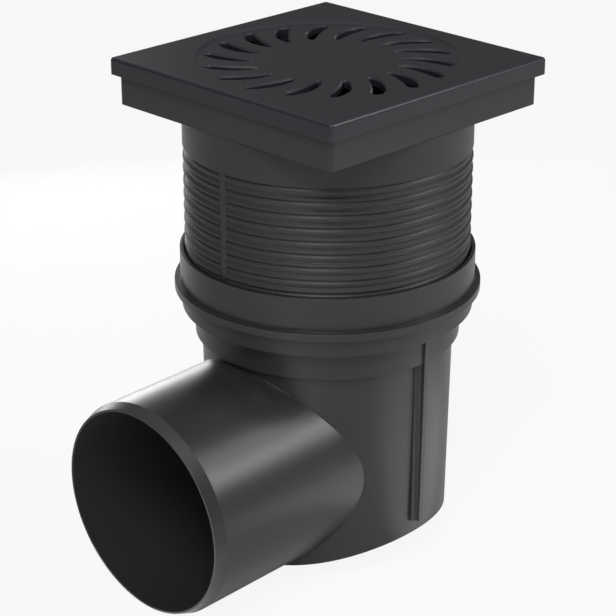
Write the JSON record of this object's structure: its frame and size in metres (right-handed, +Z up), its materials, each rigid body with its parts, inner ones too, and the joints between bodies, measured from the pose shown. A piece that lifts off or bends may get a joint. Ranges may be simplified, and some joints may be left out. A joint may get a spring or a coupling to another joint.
{
  "type": "gully trap",
  "caption": "Yard gully trap: square grate with swept slots on a ribbed riser, in the socket of a round trap body with a side outlet and a lift-out odour trap.",
  "frame": {"origin": "on the shaft axis, at the lowest line of the floor's outside, where the body beds", "axes": "+Z up along the shaft, -Y towards the outlet, +X to the right of the outlet's back"},
  "size_m": [0.1548, 0.2072, 0.2557],
  "materials": {
    "body_plastic": "satin, dark grey",
    "grate_plastic": "satin, dark grey",
    "insert_plastic": "plain, black grey",
    "seal_rubber": "dull, black"
  },
  "bodies": {
    "body": {"trap_body": "body_plastic", "trap_insert": "insert_plastic", "insert_seal": "seal_rubber", "trap_cup": "insert_plastic"},
    "seal": {"riser_seal": "seal_rubber"},
    "riser": {"riser": "body_plastic", "grate": "grate_plastic"}
  },
  "joints": [
    {"name": "riser_lift", "type": "slide", "parent": "body", "child": "seal", "axis": [0, 0, 1], "range_m": [0, 0.018]},
    {"name": "riser_turn", "type": "hinge", "parent": "seal", "child": "riser", "pos_m": [0, 0, 0.13], "axis": [0, 0, 1], "continuous": true}
  ]
}
